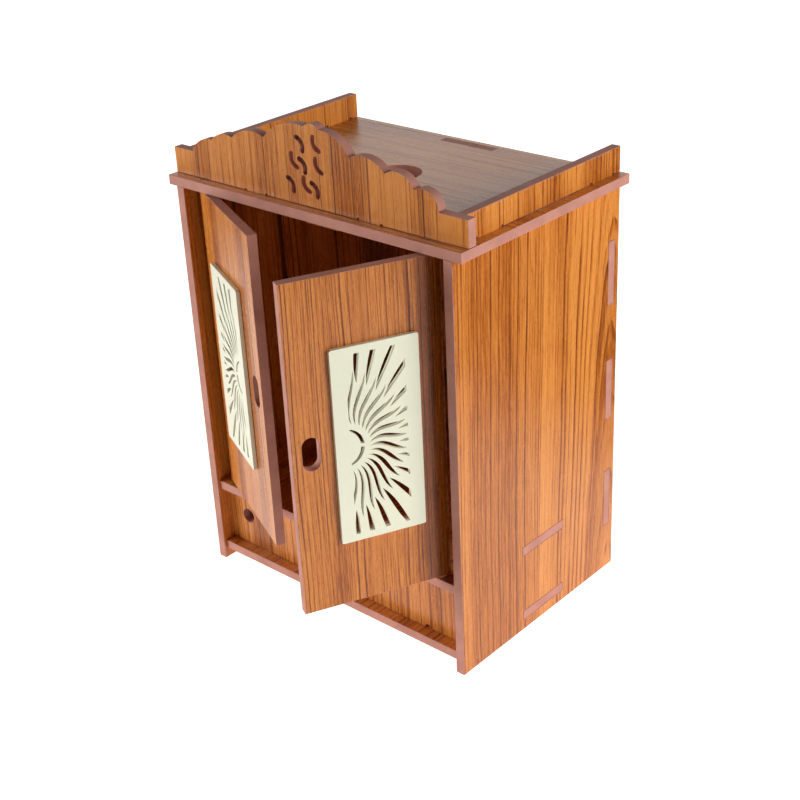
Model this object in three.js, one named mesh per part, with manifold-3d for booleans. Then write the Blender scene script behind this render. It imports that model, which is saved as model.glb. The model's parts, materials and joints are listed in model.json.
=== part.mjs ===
// Household altar cabinet of wood-grain board, with two pin-hung doors.
// Millimetres. X to the right, Y to the back, Z up. The pieces are drawn about the middle of the
// footprint, and the whole then moves so that the origin is the middle of the back panel's foot.

import * as THREE from 'three';
import { mergeVertices } from 'three/addons/utils/BufferGeometryUtils.js';
import Module from 'manifold-3d';

const wasm = await Module();
wasm.setup();

// Overall sizes
const BODY_WIDTH = 264.3;
const BODY_DEPTH = 190;
const SIDE_HEIGHT = 324.7;
const BOARD = 7.3;
const GAP = 0.3;

// Lower compartment and the shelf above it
const BOTTOM_CLEARANCE = 8.9;
const COMPARTMENT_HEIGHT = 50;
const SHELF_SETBACK = 2.6;
const LOWER_PANEL_SETBACK = 11.9;
const BACK_SETBACK = 5.15;

// Tabs of the shelf, the bottom board and the back panel, which pass through their neighbours
const TAB_LENGTH = 50;
const SHELF_TAB_Y = 2.1;
const SIDE_TENON_Y = 8.5;
const BACK_TAB_PITCH = 96;
const BACK_TAB_DROP = 1.6;
const TENON_LENGTH = 25;
const LOWER_TENON_X = 62.425;
const TENON_RELIEF = 1.2;

// Round hole in the lower front panel, and the little notch at its foot
const CABLE_HOLE_RADIUS = 6.3;
const CABLE_HOLE_FROM_END = 20.5;
const CABLE_HOLE_HEIGHT = 26.3;
const FOOT_NOTCH_RADIUS = 2.4;
const FOOT_NOTCH_FROM_END = 37;

// Top board
const TOP_OVERHANG = 7.85;
const SMOKE_HOLE_RADIUS = 18.2;
const SMOKE_HOLE_Y = 3.5;
const STOP_LENGTH = 32.6;
const STOP_DROP = 10;
const STOP_SETBACK = 18;

// Side rails and the scalloped crest board
const RAIL_HEIGHT = 19.1;
const RAIL_TENON_FROM_CREST = 23.4;
const RAIL_TENON_FROM_REAR = 22.3;
const CREST_SETBACK = 8.3;
const CREST_INSET = 0.3;
const CREST_END_HEIGHT = 19.5;
const RIGHT_END_WIDTH = 24;
const LEFT_END_WIDTH = 20;
const CREST_TENON_LENGTH = 18.9;
const CREST_TENON_X = 54.7;

// Scallops from each end block to the crown: width, height of the inner valley, and bulge of the arc
const RIGHT_SCALLOPS = [
  { width: 20.5, valley: 30.8, bulge: 6.8 },
  { width: 24.8, valley: 37, bulge: 5.8 },
  { width: 31.6, valley: 42.2, bulge: 5.4 },
  { width: 26.8, valley: 56.7, bulge: 4.2 },
];
const LEFT_SCALLOPS = [
  { width: 22.7, valley: 31.5, bulge: 3.8 },
  { width: 22, valley: 37, bulge: 3.4 },
  { width: 32.7, valley: 42.7, bulge: 4.9 },
  { width: 40.7, valley: 56.9, bulge: 5.4 },
];

// The crown sits to the right of the crest's middle
const CROWN_RIGHT = 12;
const CROWN_LEFT = 1.6;
const CROWN_BULGE = 3;

// Shallow curved strokes in the middle of the crest, in three rows
const STROKE_WIDTH = 3.8;
const STROKE_DEPTH = 3;
const STROKE_RADIUS = 6.5;
const STROKE_SWEEP = 105;
const STROKE_PITCH = 11.5;
const STROKE_LEANS = [30, 210];
const STROKE_ROWS = [
  { x: 1, z: 45, count: 2 },
  { x: -3.5, z: 30, count: 3 },
  { x: -4.5, z: 14.5, count: 3 },
];

// Doors, which turn on round pins left standing on their top and bottom edges
const PIN_FROM_SIDE = 15.85;
const PIN_SETBACK = 8.2;
const PIN_RADIUS = 2.9;
const DOOR_BEYOND_PIN = 4;
const DOOR_MEETING_GAP = 3.2;
const DOOR_BOTTOM_GAP = 2.8;
const DOOR_TOP_GAP = 1.1;
const RIGHT_DOOR_OPEN = 64.5;
const LEFT_DOOR_OPEN = 25.3;
const FINGER_HOLE_WIDTH = 12.8;
const FINGER_HOLE_HEIGHT = 25;
const FINGER_HOLE_FROM_EDGE = 13.6;

// Ray panel: a thin plate with a pierced sun, glued over a window in the door
const RAY_PANEL_WIDTH = 62.5;
const RAY_PANEL_HEIGHT = 146;
const RAY_PANEL_THICKNESS = 3;
const RAY_PANEL_CORNER = 1.5;
const RAY_PANEL_FROM_EDGE = 29.7;
const WINDOW_SIDE_MARGIN = 7.5;
const WINDOW_END_MARGIN = 3;

// Sun and rays, measured from the lower corner nearest to the door's free edge
const PATTERN_INNER_MARGIN = 10.5;
const PATTERN_OUTER_MARGIN = 10.2;
const PATTERN_END_MARGIN = 5.3;
const SUN_X = 6.6;
const SUN_RADIUS = 14.1;
const SUN_SHADOW_RADIUS = 13.4;
const SUN_SHADOW_SHIFT = 1.95;
const SUN_BRIDGE = 2.3;

// Inner rays: angle and radius of their roots, and the ellipse that their tips reach
const RAY_COUNT = 16;
const RAY_FIRST = 72;
const RAY_STEP = 9.8;
const TIP_FIRST = 79.1;
const TIP_STEP = 11.15;
const RAY_START_RADIUS = 18;
const RAY_REACH_X = 45;
const RAY_REACH_Z = 57;
const RAY_WIDTH = 3;
const STEEP_RAY_WIDTH = 2;
const RAY_SWAY = 6.7;
const RAY_SWAY_BACK = -2;

// Outer flames, which start between the tips of the rays and run out to the pattern's edge
const FLAME_FIRST = 84.7;
const FLAME_START = 0.85;
const FLAME_LENGTH = 44;
const FLAME_WIDTH = 3.8;
const FLAME_LEAN = 2;
const FLAME_LEAN_SPREAD = 8;
const FLAME_SWAY = 1.5;
const FLAME_SWAY_BACK = -1;

// Pointed cuts: how full their flanks are, and steps along each flank
const LEAF_FULLNESS = 0.7;
const RAY_STEPS = 10;

// Straight steps in each half of a curve, by the size of what is curved
const FINE_CURVE = 16;
const CURVE = 10;
const COARSE_CURVE = 8;
const SMALL_CURVE = 5;
const CORNER_CURVE = 3;
const PIN_SIDES = 2 * CURVE;

// How far a cut, or a tab's root, runs past the face that it crosses
const OVERCUT = 1;

// Board faces that the pieces share
const HALF_OUTER = BODY_WIDTH / 2;
const HALF_INNER = HALF_OUTER - BOARD;
const FRONT = -BODY_DEPTH / 2;
const REAR = BODY_DEPTH / 2;
const BOTTOM_UNDERSIDE = BOTTOM_CLEARANCE;
const BOTTOM_SURFACE = BOTTOM_UNDERSIDE + BOARD;
const SHELF_UNDERSIDE = BOTTOM_SURFACE + COMPARTMENT_HEIGHT;
const SHELF_SURFACE = SHELF_UNDERSIDE + BOARD;
const TOP_UNDERSIDE = SIDE_HEIGHT;
const TOP_SURFACE = TOP_UNDERSIDE + BOARD;
const BACK_FRONT = REAR - BACK_SETBACK - BOARD;
const BACK_REAR = REAR - BACK_SETBACK;
const CREST_FRONT = FRONT + CREST_SETBACK;
const CREST_REAR = CREST_FRONT + BOARD;
const RAIL_OUTER = HALF_OUTER - GAP;
const RAIL_INNER = RAIL_OUTER - BOARD;
const PIN_X = HALF_INNER - PIN_FROM_SIDE;
const PIN_Y = FRONT + PIN_SETBACK;

const RAIL_FRONT = CREST_REAR + GAP;
const RAIL_TENON_YS = [RAIL_FRONT + RAIL_TENON_FROM_CREST, REAR - RAIL_TENON_FROM_REAR];
const LOWER_FRONT = FRONT + LOWER_PANEL_SETBACK;
const BACK_TAB_MIDDLE = SIDE_HEIGHT / 2 - BACK_TAB_DROP;
const BACK_TAB_ZS = [-1, 0, 1].map((step) => BACK_TAB_MIDDLE + step * BACK_TAB_PITCH);

// Finishes
const woodGrain = () => new THREE.MeshStandardMaterial({ color: 0xb4682d, roughness: 0.45, metalness: 0 });
const cream = () => new THREE.MeshStandardMaterial({ color: 0xe8ebd3, roughness: 0.35, metalness: 0 });

const cabinet = new THREE.Group();

// Outlines

function rectangle(xa, ya, xb, yb) {
  const low = new THREE.Vector2(Math.min(xa, xb), Math.min(ya, yb));
  const high = new THREE.Vector2(Math.max(xa, xb), Math.max(ya, yb));
  const shape = new THREE.Shape();
  shape.moveTo(low.x, low.y);
  shape.lineTo(high.x, low.y);
  shape.lineTo(high.x, high.y);
  shape.lineTo(low.x, high.y);
  shape.closePath();
  return shape;
}

// A point at an angle round the middle of a circle or an ellipse
function polar(degrees, radiusX, radiusY = radiusX) {
  const angle = THREE.MathUtils.degToRad(degrees);
  return new THREE.Vector2(radiusX * Math.cos(angle), radiusY * Math.sin(angle));
}

function disc(x, y, radius) {
  const shape = new THREE.Shape();
  shape.absarc(x, y, radius, 0, 2 * Math.PI, false);
  return shape;
}

// A round-ended slot that stands upright
function uprightSlot(x, y, width, height) {
  const radius = width / 2;
  const straight = height / 2 - radius;
  const shape = new THREE.Shape();
  shape.absarc(x, y + straight, radius, 0, Math.PI, false);
  shape.absarc(x, y - straight, radius, Math.PI, 2 * Math.PI, false);
  shape.closePath();
  return shape;
}

function roundedRectangle(x0, y0, x1, y1, radius) {
  const quarter = Math.PI / 2;
  const shape = new THREE.Shape();
  shape.absarc(x1 - radius, y0 + radius, radius, -quarter, 0, false);
  shape.absarc(x1 - radius, y1 - radius, radius, 0, quarter, false);
  shape.absarc(x0 + radius, y1 - radius, radius, quarter, 2 * quarter, false);
  shape.absarc(x0 + radius, y0 + radius, radius, 2 * quarter, 3 * quarter, false);
  shape.closePath();
  return shape;
}

// An arc from the shape's current point to (x, y) that bulges out to the right of the way
function bulgeTo(shape, x, y, bulge) {
  const from = shape.currentPoint.clone();
  const to = new THREE.Vector2(x, y);
  const chord = from.distanceTo(to);
  const radius = chord ** 2 / (8 * bulge) + bulge / 2;
  const along = to.clone().sub(from).divideScalar(chord);
  const right = new THREE.Vector2(along.y, -along.x);
  const centre = from.clone().lerp(to, 0.5).addScaledVector(right, bulge - radius);
  const start = Math.atan2(from.y - centre.y, from.x - centre.x);
  const end = Math.atan2(to.y - centre.y, to.x - centre.x);
  shape.absarc(centre.x, centre.y, radius, start, end, false);
}

// A leaf-shaped cut along a cubic curve, widest at its middle and pointed at both ends
function leaf(curve, width, steps) {
  const left = [];
  const right = [];
  for (let i = 1; i < steps; i += 1) {
    const t = i / steps;
    const point = curve.getPoint(t);
    const tangent = curve.getTangent(t);
    const half = (width / 2) * Math.sin(Math.PI * t) ** LEAF_FULLNESS;
    left.push(new THREE.Vector2(point.x - tangent.y * half, point.y + tangent.x * half));
    right.unshift(new THREE.Vector2(point.x + tangent.y * half, point.y - tangent.x * half));
  }
  return new THREE.Shape([curve.getPoint(0), ...left, curve.getPoint(1), ...right]);
}

// Cutting and joining of solids

function toSolid(geometry) {
  const bare = geometry.clone();
  bare.deleteAttribute('normal');
  bare.deleteAttribute('uv');
  const merged = mergeVertices(bare, 1e-4);
  const vertProperties = Float32Array.from(merged.attributes.position.array);
  const triVerts = Uint32Array.from(merged.index.array);
  return new wasm.Manifold(new wasm.Mesh({ numProp: 3, vertProperties, triVerts }));
}

function toGeometry(solid) {
  const { vertProperties, triVerts } = solid.getMesh();
  const geometry = new THREE.BufferGeometry();
  geometry.setAttribute('position', new THREE.BufferAttribute(vertProperties, 3));
  geometry.setIndex(new THREE.BufferAttribute(triVerts, 1));
  geometry.computeVertexNormals();
  return geometry;
}

// Boards: an outline with tabs joined on and openings cut through

const ACROSS = new THREE.Vector3(1, 0, 0);
const BACKWARD = new THREE.Vector3(0, 1, 0);
const FORWARD = new THREE.Vector3(0, -1, 0);
const UPWARD = new THREE.Vector3(0, 0, 1);

function extrude(shape, thickness, segments) {
  return new THREE.ExtrudeGeometry(shape, { depth: thickness, bevelEnabled: false, curveSegments: segments });
}

function cutter(shape, thickness, segments) {
  return toSolid(extrude(shape, thickness + 2 * OVERCUT, segments).translate(0, 0, -OVERCUT));
}

function board(outline, tabs, openings, thickness = BOARD, segments = CURVE) {
  let solid = toSolid(extrude(outline, thickness, segments));
  for (const tab of tabs) {
    solid = solid.add(toSolid(extrude(tab, thickness, segments)));
  }
  for (const opening of openings) {
    solid = solid.subtract(cutter(opening, thickness, segments));
  }
  return solid;
}

// Planes that a board's outline can lie in, with the place of its lower, rear or left face

function lying(z) {
  return new THREE.Matrix4().makeTranslation(0, 0, z);
}

function facing(rear) {
  return new THREE.Matrix4().makeBasis(ACROSS, UPWARD, FORWARD).setPosition(0, rear, 0);
}

function sideways(left) {
  return new THREE.Matrix4().makeBasis(BACKWARD, UPWARD, ACROSS).setPosition(left, 0, 0);
}

function addPiece(name, solid, plane, material, parent = cabinet) {
  const mesh = new THREE.Mesh(toGeometry(solid).applyMatrix4(plane), material);
  mesh.name = name;
  parent.add(mesh);
}

// A slot where another board's tab passes through, with the fitting gap all round
function slotAround(x0, y0, x1, y1) {
  return rectangle(x0 - GAP, y0 - GAP, x1 + GAP, y1 + GAP);
}

// Side panels, each with a tenon that stands up through the top board

function addSidePanel(name, left) {
  const head = TOP_UNDERSIDE - GAP;
  const outline = rectangle(FRONT, 0, REAR, head);
  const tenonFront = SIDE_TENON_Y - TAB_LENGTH / 2;
  const tenonRear = SIDE_TENON_Y + TAB_LENGTH / 2;
  const tenon = rectangle(tenonFront, head - OVERCUT, tenonRear, TOP_SURFACE);
  const tabFront = SHELF_TAB_Y - TAB_LENGTH / 2;
  const tabRear = SHELF_TAB_Y + TAB_LENGTH / 2;
  const slots = [
    slotAround(tabFront, BOTTOM_UNDERSIDE, tabRear, BOTTOM_SURFACE),
    slotAround(tabFront, SHELF_UNDERSIDE, tabRear, SHELF_SURFACE),
  ];
  for (const z of BACK_TAB_ZS) {
    slots.push(slotAround(BACK_FRONT, z - TAB_LENGTH / 2, BACK_REAR, z + TAB_LENGTH / 2));
  }
  addPiece(name, board(outline, [tenon], slots), sideways(left), woodGrain());
}

// Shelf and bottom board: one long tab runs across into both side panels, flush with their faces

function addCrossBoard(name, underside, holes) {
  const edge = HALF_INNER - GAP;
  const outline = rectangle(-edge, FRONT + SHELF_SETBACK, edge, BACK_FRONT - GAP);
  const tabFront = SHELF_TAB_Y - TAB_LENGTH / 2;
  const tabRear = SHELF_TAB_Y + TAB_LENGTH / 2;
  const tabs = [rectangle(-HALF_OUTER, tabFront, HALF_OUTER, tabRear)];
  addPiece(name, board(outline, tabs, holes), lying(underside), woodGrain());
}

function lowerTenonSpans() {
  return [-LOWER_TENON_X, LOWER_TENON_X].map((x) => [x - TENON_LENGTH / 2, x + TENON_LENGTH / 2]);
}

function lowerTenonSlots() {
  return lowerTenonSpans().map(([x0, x1]) => slotAround(x0, LOWER_FRONT, x1, LOWER_FRONT + BOARD));
}

function pinHoles() {
  return [-PIN_X, PIN_X].map((x) => disc(x, PIN_Y, PIN_RADIUS + GAP));
}

// Lower front panel, with two tenons down into the bottom board

function addLowerFrontPanel() {
  const end = HALF_INNER - GAP;
  const foot = BOTTOM_SURFACE + GAP;
  const head = SHELF_UNDERSIDE - GAP;
  const outline = rectangle(-end, foot, end, head);
  const tenons = lowerTenonSpans().map(([x0, x1]) => rectangle(x0, BOTTOM_UNDERSIDE, x1, foot + OVERCUT));
  const hole = disc(-HALF_INNER + CABLE_HOLE_FROM_END, foot + CABLE_HOLE_HEIGHT, CABLE_HOLE_RADIUS);
  const notch = disc(HALF_INNER - FOOT_NOTCH_FROM_END, foot, FOOT_NOTCH_RADIUS);
  const solid = board(outline, tenons, [hole, notch]);
  addPiece('lower_front_panel', solid, facing(LOWER_FRONT + BOARD), woodGrain());
}

// Back panel, with three tabs at each side and one through the top board

function addBackPanel() {
  const edge = HALF_INNER - GAP;
  const head = TOP_UNDERSIDE - GAP;
  const outline = rectangle(-edge, 0, edge, head);
  const half = TAB_LENGTH / 2;
  const tabs = BACK_TAB_ZS.map((z) => rectangle(-HALF_OUTER, z - half, HALF_OUTER, z + half));
  tabs.push(rectangle(-half, head - OVERCUT, half, TOP_SURFACE));
  addPiece('back_panel', board(outline, tabs, []), facing(BACK_REAR), woodGrain());
}

// Top board, with a round hole and a slot for every tab and tenon that enters it

function addTopBoard() {
  const half = HALF_OUTER + TOP_OVERHANG;
  const openings = [disc(0, SMOKE_HOLE_Y, SMOKE_HOLE_RADIUS), ...pinHoles()];
  openings.push(slotAround(-TAB_LENGTH / 2, BACK_FRONT, TAB_LENGTH / 2, BACK_REAR));
  for (const side of [-1, 1]) {
    const crestInner = side * (CREST_TENON_X - CREST_TENON_LENGTH / 2);
    const crestOuter = side * (CREST_TENON_X + CREST_TENON_LENGTH / 2);
    const crestSpan = [Math.min(crestInner, crestOuter), Math.max(crestInner, crestOuter)];
    openings.push(slotAround(crestSpan[0], CREST_FRONT, crestSpan[1], CREST_REAR));
    const railSpan = side < 0 ? [-RAIL_OUTER, -RAIL_INNER] : [RAIL_INNER, RAIL_OUTER];
    for (const y of RAIL_TENON_YS) {
      openings.push(slotAround(railSpan[0], y - TENON_LENGTH / 2, railSpan[1], y + TENON_LENGTH / 2));
    }
    const sideSpan = side < 0 ? [-HALF_OUTER, -HALF_INNER] : [HALF_INNER, HALF_OUTER];
    const tenonHalf = TAB_LENGTH / 2;
    openings.push(slotAround(sideSpan[0], SIDE_TENON_Y - tenonHalf, sideSpan[1], SIDE_TENON_Y + tenonHalf));
  }
  const solid = board(rectangle(-half, FRONT, half, REAR), [], openings, BOARD, FINE_CURVE);
  addPiece('top_board', solid, lying(TOP_UNDERSIDE), woodGrain());
}

function addDoorStop() {
  const half = STOP_LENGTH / 2;
  const outline = rectangle(-half, TOP_UNDERSIDE - STOP_DROP, half, TOP_UNDERSIDE - GAP);
  addPiece('door_stop', board(outline, [], []), facing(FRONT + STOP_SETBACK + BOARD), woodGrain());
}

// Half-round reliefs in a foot line, one at each side of a tenon's root
function tenonReliefs(middle, length, foot) {
  const reach = length / 2 + TENON_RELIEF;
  return [middle - reach, middle + reach].map((x) => disc(x, foot, TENON_RELIEF));
}

// Side rails

function addRail(name, left) {
  const foot = TOP_SURFACE + GAP;
  const outline = rectangle(RAIL_FRONT, foot, REAR, TOP_SURFACE + RAIL_HEIGHT);
  const tenons = RAIL_TENON_YS.map((y) => {
    return rectangle(y - TENON_LENGTH / 2, TOP_UNDERSIDE, y + TENON_LENGTH / 2, foot + OVERCUT);
  });
  const reliefs = RAIL_TENON_YS.flatMap((y) => tenonReliefs(y, TENON_LENGTH, foot));
  addPiece(name, board(outline, tenons, reliefs, BOARD, COARSE_CURVE), sideways(left), woodGrain());
}

// Crest board: end blocks, scallops that rise to a low crown, and shallow strokes

function crestValleys(half, endWidth, scallops, crownEdge) {
  const run = half - endWidth - crownEdge;
  const stretch = run / scallops.reduce((sum, scallop) => sum + scallop.width, 0);
  let x = half - endWidth;
  return scallops.map((scallop) => {
    x -= scallop.width * stretch;
    return { x, z: scallop.valley, bulge: scallop.bulge };
  });
}

function crestOutline(half, foot) {
  const right = crestValleys(half, RIGHT_END_WIDTH, RIGHT_SCALLOPS, CROWN_RIGHT);
  const left = crestValleys(half, LEFT_END_WIDTH, LEFT_SCALLOPS, CROWN_LEFT);
  const blockHead = TOP_SURFACE + CREST_END_HEIGHT;
  const outline = new THREE.Shape();
  outline.moveTo(-half, foot);
  outline.lineTo(half, foot);
  outline.lineTo(half, blockHead);
  outline.lineTo(half - RIGHT_END_WIDTH, blockHead);
  for (const valley of right) {
    bulgeTo(outline, valley.x, TOP_SURFACE + valley.z, valley.bulge);
  }
  const edges = [{ x: half - LEFT_END_WIDTH, z: CREST_END_HEIGHT }, ...left];
  const last = left.length;
  bulgeTo(outline, -edges[last].x, TOP_SURFACE + edges[last].z, CROWN_BULGE);
  for (let i = last; i > 0; i -= 1) {
    bulgeTo(outline, -edges[i - 1].x, TOP_SURFACE + edges[i - 1].z, edges[i].bulge);
  }
  outline.lineTo(-half, blockHead);
  outline.closePath();
  return outline;
}

// A groove from the crest's front face down to the strokes' depth
function groove(shape) {
  const depth = STROKE_DEPTH + OVERCUT;
  return toSolid(extrude(shape, depth, SMALL_CURVE).translate(0, 0, BOARD - STROKE_DEPTH));
}

// A bent stroke with round ends; lean is where its middle lies, seen from the centre of its bend
function bentStroke(x, z, lean) {
  const from = THREE.MathUtils.degToRad(lean - STROKE_SWEEP / 2);
  const to = THREE.MathUtils.degToRad(lean + STROKE_SWEEP / 2);
  const half = STROKE_WIDTH / 2;
  const centre = new THREE.Vector2(x, z).sub(polar(lean, STROKE_RADIUS));
  const start = centre.clone().add(polar(lean - STROKE_SWEEP / 2, STROKE_RADIUS));
  const end = centre.clone().add(polar(lean + STROKE_SWEEP / 2, STROKE_RADIUS));
  const arc = (middle, radius, first, last, clockwise) => {
    const curve = new THREE.EllipseCurve(middle.x, middle.y, radius, radius, first, last, clockwise);
    return curve.getPoints(SMALL_CURVE).slice(0, -1);
  };
  return new THREE.Shape([
    ...arc(centre, STROKE_RADIUS + half, from, to, false),
    ...arc(end, half, to, to + Math.PI, false),
    ...arc(centre, STROKE_RADIUS - half, to, from, true),
    ...arc(start, half, from + Math.PI, from + 2 * Math.PI, false),
  ]);
}

function strokeRows() {
  const cuts = [];
  STROKE_ROWS.forEach(({ x, z, count }, row) => {
    for (let i = 0; i < count; i += 1) {
      const across = x + (i - (count - 1) / 2) * STROKE_PITCH;
      const lean = STROKE_LEANS[(i + row) % STROKE_LEANS.length];
      cuts.push(groove(bentStroke(across, TOP_SURFACE + z, lean)));
    }
  });
  return cuts;
}

function addCrest() {
  const half = HALF_OUTER + TOP_OVERHANG - CREST_INSET;
  const foot = TOP_SURFACE + GAP;
  const tenonXs = [-CREST_TENON_X, CREST_TENON_X];
  const tenons = tenonXs.map((x) => {
    return rectangle(x - CREST_TENON_LENGTH / 2, TOP_UNDERSIDE, x + CREST_TENON_LENGTH / 2, foot + OVERCUT);
  });
  const reliefs = tenonXs.flatMap((x) => tenonReliefs(x, CREST_TENON_LENGTH, foot));
  let solid = board(crestOutline(half, foot), tenons, reliefs, BOARD, COARSE_CURVE);
  for (const stroke of strokeRows()) {
    solid = solid.subtract(stroke);
  }
  addPiece('crest_board', solid, facing(CREST_REAR), woodGrain());
}

// Doors

const DOOR_BOTTOM = SHELF_SURFACE + DOOR_BOTTOM_GAP;
const DOOR_TOP = TOP_UNDERSIDE - DOOR_TOP_GAP;
const DOOR_MIDDLE = (DOOR_BOTTOM + DOOR_TOP) / 2;
const DOOR_REACH = PIN_X - DOOR_MEETING_GAP / 2;
const PANEL_EDGE = DOOR_REACH - RAY_PANEL_FROM_EDGE;

// Each door is drawn closed, about its pin; toFree is +1 where its free edge lies towards +X

function doorPin(z0, z1) {
  const pin = new THREE.CylinderGeometry(PIN_RADIUS, PIN_RADIUS, z1 - z0, PIN_SIDES);
  return toSolid(pin.rotateX(Math.PI / 2).translate(0, 0, (z0 + z1) / 2));
}

function doorBoard(toFree) {
  const along = (s) => toFree * s;
  const outline = rectangle(along(-DOOR_BEYOND_PIN), DOOR_BOTTOM, along(DOOR_REACH), DOOR_TOP);
  const fingerX = along(DOOR_REACH - FINGER_HOLE_FROM_EDGE);
  const fingerHole = uprightSlot(fingerX, DOOR_MIDDLE, FINGER_HOLE_WIDTH, FINGER_HOLE_HEIGHT);
  const windowHalf = RAY_PANEL_HEIGHT / 2 - WINDOW_END_MARGIN;
  const windowFar = along(PANEL_EDGE - RAY_PANEL_WIDTH + WINDOW_SIDE_MARGIN);
  const windowNear = along(PANEL_EDGE - WINDOW_SIDE_MARGIN);
  const window = rectangle(windowFar, DOOR_MIDDLE - windowHalf, windowNear, DOOR_MIDDLE + windowHalf);
  const flat = board(outline, [], [fingerHole, window]);
  const upright = flat.transform(facing(BOARD / 2).elements);
  const lowerPin = doorPin(SHELF_UNDERSIDE, DOOR_BOTTOM + OVERCUT);
  const upperPin = doorPin(DOOR_TOP - OVERCUT, TOP_SURFACE);
  return upright.add(lowerPin).add(upperPin);
}

// Sun and rays of the ray panel, measured from its lower corner nearest to the door's free edge

function sunRing() {
  const middle = RAY_PANEL_HEIGHT / 2;
  const disk = cutter(disc(SUN_X, middle, SUN_RADIUS), RAY_PANEL_THICKNESS, FINE_CURVE);
  const shadow = disc(SUN_X - SUN_SHADOW_SHIFT, middle, SUN_SHADOW_RADIUS);
  const bridge = rectangle(0, middle - SUN_BRIDGE / 2, RAY_PANEL_WIDTH, middle + SUN_BRIDGE / 2);
  const taller = RAY_PANEL_THICKNESS + 2 * OVERCUT;
  const rest = cutter(shadow, taller, FINE_CURVE).translate(0, 0, -OVERCUT);
  const gap = cutter(bridge, taller, FINE_CURVE).translate(0, 0, -OVERCUT);
  return disk.subtract(rest).subtract(gap);
}

// A curve whose middle sways to the left of the way and back
function swayingCurve(start, end, firstSway, secondSway) {
  const along = end.clone().sub(start).normalize();
  const left = new THREE.Vector2(-along.y, along.x);
  const first = start.clone().lerp(end, 1 / 3).addScaledVector(left, firstSway);
  const second = start.clone().lerp(end, 2 / 3).addScaledVector(left, secondSway);
  return new THREE.CubicBezierCurve(start, first, second, end);
}

function rayCurve(k) {
  const sun = new THREE.Vector2(SUN_X, RAY_PANEL_HEIGHT / 2);
  const start = sun.clone().add(polar(RAY_FIRST - RAY_STEP * k, RAY_START_RADIUS));
  const end = sun.clone().add(polar(TIP_FIRST - TIP_STEP * k, RAY_REACH_X, RAY_REACH_Z));
  return swayingCurve(start, end, RAY_SWAY, RAY_SWAY_BACK);
}

function flameCurve(k) {
  const sun = new THREE.Vector2(SUN_X, RAY_PANEL_HEIGHT / 2);
  const phase = FLAME_FIRST - TIP_STEP * k;
  const tip = polar(phase, RAY_REACH_X, RAY_REACH_Z).multiplyScalar(FLAME_START);
  const lean = FLAME_LEAN + FLAME_LEAN_SPREAD * Math.sin(THREE.MathUtils.degToRad(phase));
  const heading = THREE.MathUtils.radToDeg(tip.angle()) + lean;
  const start = sun.add(tip);
  const end = start.clone().add(polar(heading, FLAME_LENGTH));
  return swayingCurve(start, end, FLAME_SWAY, FLAME_SWAY_BACK);
}

function sunPattern() {
  let cuts = sunRing();
  for (let k = 0; k < RAY_COUNT; k += 1) {
    const steepness = Math.abs(RAY_FIRST - RAY_STEP * k) / RAY_FIRST;
    const width = THREE.MathUtils.lerp(RAY_WIDTH, STEEP_RAY_WIDTH, Math.min(1, steepness) ** 2);
    cuts = cuts.add(cutter(leaf(rayCurve(k), width, RAY_STEPS), RAY_PANEL_THICKNESS, CURVE));
    cuts = cuts.add(cutter(leaf(flameCurve(k), FLAME_WIDTH, RAY_STEPS), RAY_PANEL_THICKNESS, CURVE));
  }
  const farEdge = RAY_PANEL_WIDTH - PATTERN_OUTER_MARGIN;
  const head = RAY_PANEL_HEIGHT - PATTERN_END_MARGIN;
  const frame = rectangle(PATTERN_INNER_MARGIN, PATTERN_END_MARGIN, farEdge, head);
  return cuts.intersect(cutter(frame, RAY_PANEL_THICKNESS, CURVE));
}

// The panel stands proud of the door's outer face, and the left door's is the right one's mirror image
function rayPanel(toFree) {
  const outline = roundedRectangle(0, 0, RAY_PANEL_WIDTH, RAY_PANEL_HEIGHT, RAY_PANEL_CORNER);
  const sheet = board(outline, [], [], RAY_PANEL_THICKNESS, CORNER_CURVE).subtract(sunPattern());
  const handed = toFree > 0 ? sheet.mirror([1, 0, 0]) : sheet;
  return handed.translate([toFree * PANEL_EDGE, DOOR_MIDDLE - RAY_PANEL_HEIGHT / 2, 0]);
}

function addDoor(side, name, degrees) {
  const toFree = -side;
  const swing = new THREE.Group();
  swing.position.set(side * PIN_X, PIN_Y, 0);
  swing.rotation.z = THREE.MathUtils.degToRad(side * degrees);
  addPiece(`door_${name}`, doorBoard(toFree), new THREE.Matrix4(), woodGrain(), swing);
  addPiece(`ray_panel_${name}`, rayPanel(toFree), facing(-BOARD / 2 - GAP), cream(), swing);
  cabinet.add(swing);
}

addSidePanel('side_panel_left', -HALF_OUTER);
addSidePanel('side_panel_right', HALF_INNER);
addCrossBoard('bottom_board', BOTTOM_UNDERSIDE, lowerTenonSlots());
addCrossBoard('shelf', SHELF_UNDERSIDE, pinHoles());
addLowerFrontPanel();
addBackPanel();
addTopBoard();
addDoorStop();
addRail('rail_left', -RAIL_OUTER);
addRail('rail_right', RAIL_INNER);
addCrest();
addDoor(-1, 'left', LEFT_DOOR_OPEN);
addDoor(1, 'right', RIGHT_DOOR_OPEN);

cabinet.position.y = -(BACK_FRONT + BACK_REAR) / 2;

export default cabinet;
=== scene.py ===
"""Household altar cabinet: wood-grain boards with bare cut edges, two doors and their sun plates."""

import json
import math

import bmesh
import bpy
from bpy.props import FloatProperty, FloatVectorProperty, PointerProperty
from mathutils import Matrix, Vector


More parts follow.
